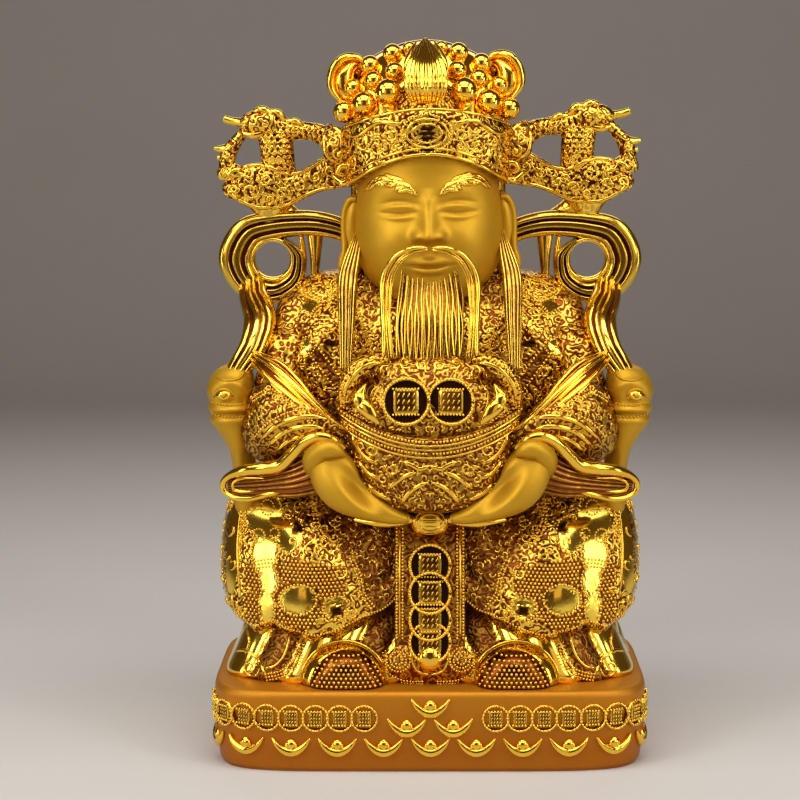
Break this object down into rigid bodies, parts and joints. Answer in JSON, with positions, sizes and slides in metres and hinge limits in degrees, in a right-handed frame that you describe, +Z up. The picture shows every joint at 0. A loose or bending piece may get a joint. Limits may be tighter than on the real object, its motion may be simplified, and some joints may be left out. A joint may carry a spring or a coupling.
{
  "type": "caishen figure",
  "caption": "Seated god of wealth in gilt resin, with a winged official's hat, holding a heaped treasure bowl, on a low bowed plinth trimmed with coins and ingots.",
  "frame": {"origin": "on the floor, under the middle of the plinth", "axes": "+Z up, the figure faces -Y, its own left hand is towards +X"},
  "size_m": [0.239, 0.16, 0.38],
  "materials": {
    "polished_gold": "bright polished gold plating on a resin casting, mirror-smooth on robe, hat, bowl, scrolls, brows and beard",
    "matte_gold": "satin sand-gold plating with a fine even grain, on face, ears, hands, beast heads and plinth"
  },
  "bodies": {
    "root": {"plinth": "matte_gold", "figure": "polished_gold"}
  },
  "joints": []
}
